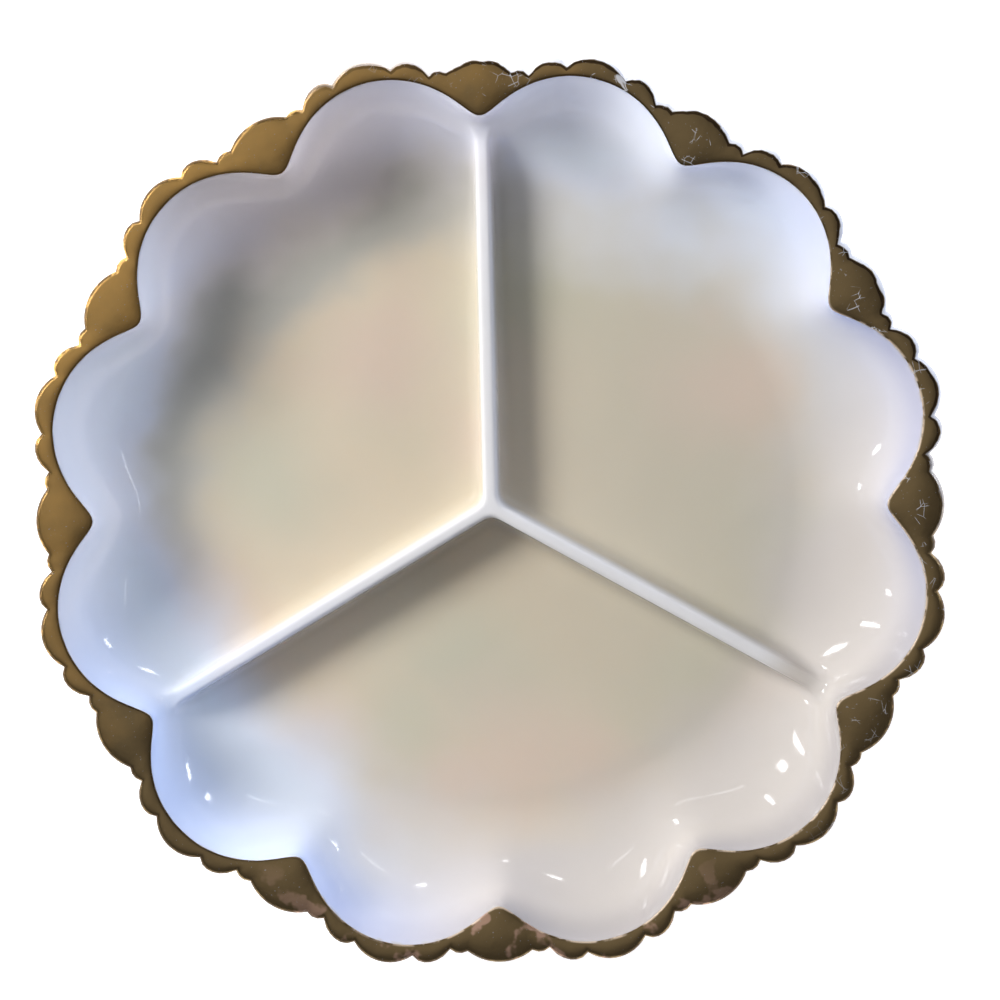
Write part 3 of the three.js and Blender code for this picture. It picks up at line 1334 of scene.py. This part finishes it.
@dataclass
class Gilding:
    """The gold film over the rim, from just inside the lip's corner to where the edge turns under."""

    rim: Rim = field(default_factory=Rim)
    finish: FiredGold = field(default_factory=FiredGold)
    thickness: float = 0.05
    start: float = 0.3
    waver: float = 0.04
    waves: tuple[Triple, ...] = ((17, 1, 1.0), (41, 2, 1.0), (97, 0, 0.7), (151, 4, 0.5))
    lip_steps: int = 4
    edge_band: float = 4.0
    lip_band: float = 1.6
    name: str = "gold_film"

    def _lifted(self, rings: list[Ring]) -> list[Ring]:
        """Lifts a stack of rings off the glass along the section's normals.

        Args:
            rings: rings on the glass, in order.

        Returns:
            The same rings on the film.
        """
        radius = np.array([ring[0] for ring in rings])
        height = np.array([ring[1] for ring in rings])
        across, up = np.gradient(radius, axis=0), np.gradient(height, axis=0)
        length = np.hypot(across, up)
        radius = radius - up / length * self.rim.film
        height = height + across / length * self.rim.film
        return list(zip(radius, height))

    def _mark(self, film: bpy.types.Object) -> None:
        """Stores how near each vertex lies to the outer edge and to the lip, from 0 well away to 1 there.

        Args:
            film: the film's object.
        """
        places = Bench.places(film) / MM
        angle = np.degrees(np.arctan2(places[:, 1], places[:, 0]))
        radius = np.hypot(places[:, 0], places[:, 1])
        outline = self.rim.bowl.outline
        Bench.mark(film, "across", np.clip((radius - outline.edge(angle)) / self.edge_band + 1, 0, 1))
        Bench.mark(film, "within", np.clip(1 - (radius - outline.lip(angle)) / self.lip_band, 0, 1))

    def build(self) -> bpy.types.Object:
        """Builds the film.

        Returns:
            The gold piece.
        """
        angles = self.rim.bowl.all_columns()
        turn = np.radians(angles)
        drift = sum(size * np.sin(count * turn + phase) for count, phase, size in self.waves)
        first = self.start + self.waver * drift
        shares = [first + (1 - first) * k / self.lip_steps for k in range(self.lip_steps + 1)]
        rings = self._lifted(self.rim.lip(angles, shares) + self.rim.face_and_edge(angles))
        shell = RingShell(angles, rings[0])
        film = shell.draw(rings[1:])
        film.name = self.name
        film.data.name = self.name
        with Bench.editing(film):
            bpy.ops.mesh.select_all(action="SELECT")
            bpy.ops.mesh.normals_make_consistent(inside=False)
        wall = film.modifiers.new("film", "SOLIDIFY")
        wall.thickness = self.thickness * MM
        wall.offset = -1.0
        bpy.ops.object.modifier_apply(modifier=wall.name)
        self._mark(film)
        bpy.ops.object.shade_smooth()
        film.data.materials.append(self.finish.material())
        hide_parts("gilded_rim")
        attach(film, "root")
        return film


# ---- the studio --------------------------------------------------------------------------------


def toward(azimuth: float, elevation: float, distance: float) -> Triple:
    """Gives a place in a direction from the dish.

    Args:
        azimuth: degrees round from +X.
        elevation: degrees up from the floor.
        distance: metres from the origin.

    Returns:
        The place, in metres.
    """
    flat = distance * math.cos(math.radians(elevation))
    turn = math.radians(azimuth)
    return (flat * math.cos(turn), flat * math.sin(turn), distance * math.sin(math.radians(elevation)))


@dataclass(frozen=True)
class Lamp:
    """A soft rectangular lamp that faces the dish. Its power is in watts."""

    name: str
    place: Triple
    size: Span
    power: float
    colour: Colour = (0.97, 0.98, 1.0)
    glints: bool = True

    def hang(self) -> None:
        """Hangs the lamp. It shows in reflections only where it glints."""
        data = bpy.data.lights.new(self.name, "AREA")
        data.shape = "RECTANGLE"
        data.size, data.size_y = self.size
        data.energy = self.power
        data.color = self.colour
        obj = bpy.data.objects.new(self.name, data)
        obj.location = self.place
        obj.rotation_euler = (-Vector(self.place)).to_track_quat("-Z", "Y").to_euler()
        obj.visible_camera = False
        obj.visible_glossy = self.glints
        bpy.context.scene.collection.objects.link(obj)


@dataclass
class Studio:
    """A pale floor, soft lights, small panes of light for the glints, and the camera."""

    lean: Span = (1.7, 5.7)
    roll: float = 1.38
    distance: float = 2.0
    span: float = 0.2649
    aim: Span = (2.85, 3.55)
    sensor: float = 36.0
    nearest: float = 0.01
    floor_side: float = 6.0
    floor_glow: float = 0.74
    floor_roughness: float = 0.9
    pale: Colour = (0.9, 0.9, 0.9)
    white: Colour = (1.0, 1.0, 1.0)
    dim_sky: Colour = (0.095, 0.095, 0.10)
    bright_sky: Colour = (0.39, 0.385, 0.38)
    overhead: Triple = (-0.296, 0.171, 0.94)
    bright_part: Span = (0.72, 0.995)
    lamps: tuple[Lamp, ...] = (
        Lamp("ceiling", (0.0, 0.0, 2.2), (3.0, 3.0), 1.2, (0.93, 0.96, 1.0), glints=False),
        Lamp("window", toward(150.0, 31.0, 1.2), (0.58, 0.36), 14.2, (1.0, 0.96, 0.91), glints=False),
        Lamp("daylight", toward(25.0, 11.0, 1.8), (1.0, 0.5), 13.0, (0.68, 0.77, 1.0), glints=False),
        Lamp("tall_pane", toward(160.0, 17.0, 2.0), (0.08, 0.55), 3.2),
        Lamp("wide_pane", toward(147.0, 25.0, 2.0), (0.13, 0.30), 2.6),
        Lamp("low_pane", toward(132.0, 13.0, 2.0), (0.10, 0.36), 1.9),
        Lamp("side_pane", toward(176.0, 9.0, 2.0), (0.10, 0.20), 1.2),
        Lamp("far_pane", toward(22.0, 9.0, 2.0), (0.22, 0.12), 1.5),
        Lamp("upper_pane", toward(40.0, 15.0, 2.0), (0.08, 0.20), 0.9),
        Lamp("strip_pane", toward(86.0, 30.0, 2.0), (0.16, 0.06), 0.6),
        Lamp("first_edge", toward(0.0, 36.0, 2.0), (0.40, 0.05), 0.28),
        Lamp("second_edge", toward(60.0, 36.0, 2.0), (0.40, 0.05), 0.28),
        Lamp("third_edge", toward(120.0, 36.0, 2.0), (0.40, 0.05), 0.28),
    )

    def floor(self) -> bpy.types.Object:
        """Lays the pale floor that the dish stands on.

        Returns:
            The floor.
        """
        Bench.clear()
        bpy.ops.mesh.primitive_plane_add(size=self.floor_side, location=(0, 0, 0))
        ground = bpy.context.object
        ground.name = "floor"
        shader = Finish("pale_floor")
        shader.feed(shader.surface.inputs["Base Color"], self.pale)
        shader.feed(shader.surface.inputs["Roughness"], self.floor_roughness)
        shader.feed(shader.surface.inputs["Emission Color"], self.white)
        shader.feed(shader.surface.inputs["Emission Strength"], self.floor_glow)
        ground.data.materials.append(shader.material)
        ground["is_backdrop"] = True
        return ground

    def camera(self) -> bpy.types.Object:
        """Sets the camera, looking down from a little towards the far divider.

        Returns:
            The camera.
        """
        target = Vector((0.0, 0.0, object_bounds()[1][2]))
        back = Vector((*(math.tan(math.radians(angle)) for angle in self.lean), 1.0)).normalized()
        right = Vector((0.0, 1.0, 0.0)).cross(back).normalized()
        upright = Matrix((right, back.cross(right), back)).transposed().to_4x4()
        data = bpy.data.cameras.new("camera")
        data.sensor_width = self.sensor
        data.lens = self.sensor * self.distance / self.span
        data.clip_start = self.nearest
        obj = bpy.data.objects.new("camera", data)
        bpy.context.scene.collection.objects.link(obj)
        turn = upright @ Matrix.Rotation(math.radians(-self.roll), 4, "Z")
        right, up, back = (turn.col[k].to_3d() for k in range(3))
        place = target + back * self.distance + right * self.aim[0] * MM + up * self.aim[1] * MM
        obj.matrix_world = Matrix.Translation(place) @ turn
        bpy.context.scene.camera = obj
        return obj

    def sky(self) -> None:
        """Surrounds the stage with a dim room that is lighter overhead."""
        world = bpy.data.worlds.new("studio")
        world.use_nodes = True
        bpy.context.scene.world = world
        shader = Shader(world.node_tree, Place.SKY)
        parts = [axis * share for axis, share in zip(shader.axes(), self.overhead)]
        glow = (parts[0] + parts[1] + parts[2]).step(*self.bright_part)
        room = shader.mix(glow, self.dim_sky, self.bright_sky)
        shader.feed(world.node_tree.nodes["Background"].inputs[0], room)

    def build(self) -> None:
        """Sets the whole stage."""
        self.floor()
        self.camera()
        self.sky()
        for lamp in self.lamps:
            lamp.hang()
        bpy.context.scene.view_settings.view_transform = "Standard"


def report(piece: bpy.types.Object) -> None:
    """Logs a piece's name and size."""
    LOG.info("%s: %d triangles", piece.name, sum(len(face.vertices) - 2 for face in piece.data.polygons))


def main() -> None:
    """Builds the dish and its stage, and reports each piece."""
    logging.basicConfig(level=logging.INFO, format="%(message)s")
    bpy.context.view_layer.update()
    bowl = Bowl()
    rim = Rim(bowl)
    report(GlassDish(Outside(rim)).build())
    report(Gilding(rim).build())
    Studio().build()


if __name__ == "__main__":
    main()
